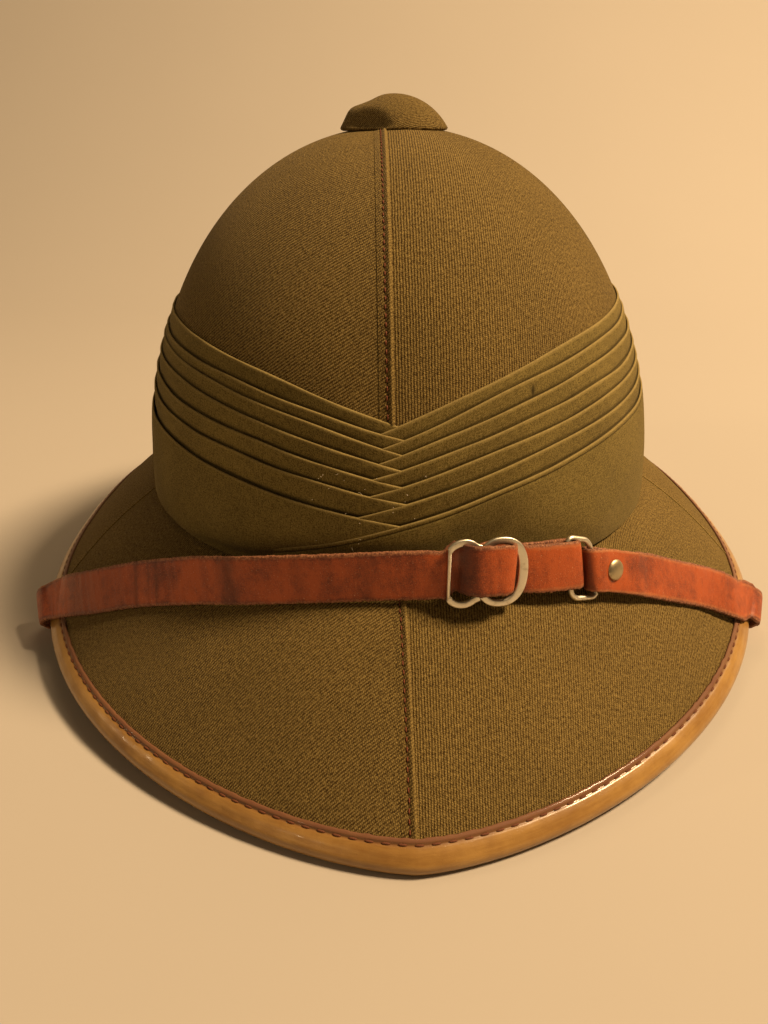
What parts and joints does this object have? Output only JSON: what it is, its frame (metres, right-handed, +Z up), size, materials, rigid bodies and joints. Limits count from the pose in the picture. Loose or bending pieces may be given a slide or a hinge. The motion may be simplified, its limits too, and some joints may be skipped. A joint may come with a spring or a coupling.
{
  "type": "pith helmet",
  "caption": "Cloth-covered cork sun helmet with a sloping brim, a pleated cloth band, a button on top and a leather chin strap with a slide buckle across the front.",
  "frame": {"origin": "on the surface that the helmet rests on, below the middle of its length and width", "axes": "-Y towards the helmet's front, +X towards the picture's right, +Z up"},
  "size_m": [0.2806, 0.3619, 0.1841],
  "materials": {
    "drill_cloth": "khaki-olive cotton drill with a fine diagonal twill, stretched over cork",
    "band_cloth": "lighter and finer plain-woven cotton, folded into pleats",
    "tan_leather": "smooth tan leather with a soft gloss",
    "strap_leather": "worn reddish-brown strap leather",
    "white_metal": "pale, slightly tarnished white metal"
  },
  "bodies": {
    "root": {"crown": "drill_cloth", "brim": "drill_cloth", "brim_binding": "tan_leather", "pugaree": "band_cloth", "crown_button": "drill_cloth", "chin_strap": "strap_leather", "chin_strap_tab": "strap_leather", "slide_buckle": "white_metal", "strap_ring": "white_metal", "strap_rivet": "white_metal", "strap_anchor_left": "white_metal", "strap_anchor_right": "white_metal"}
  },
  "joints": []
}
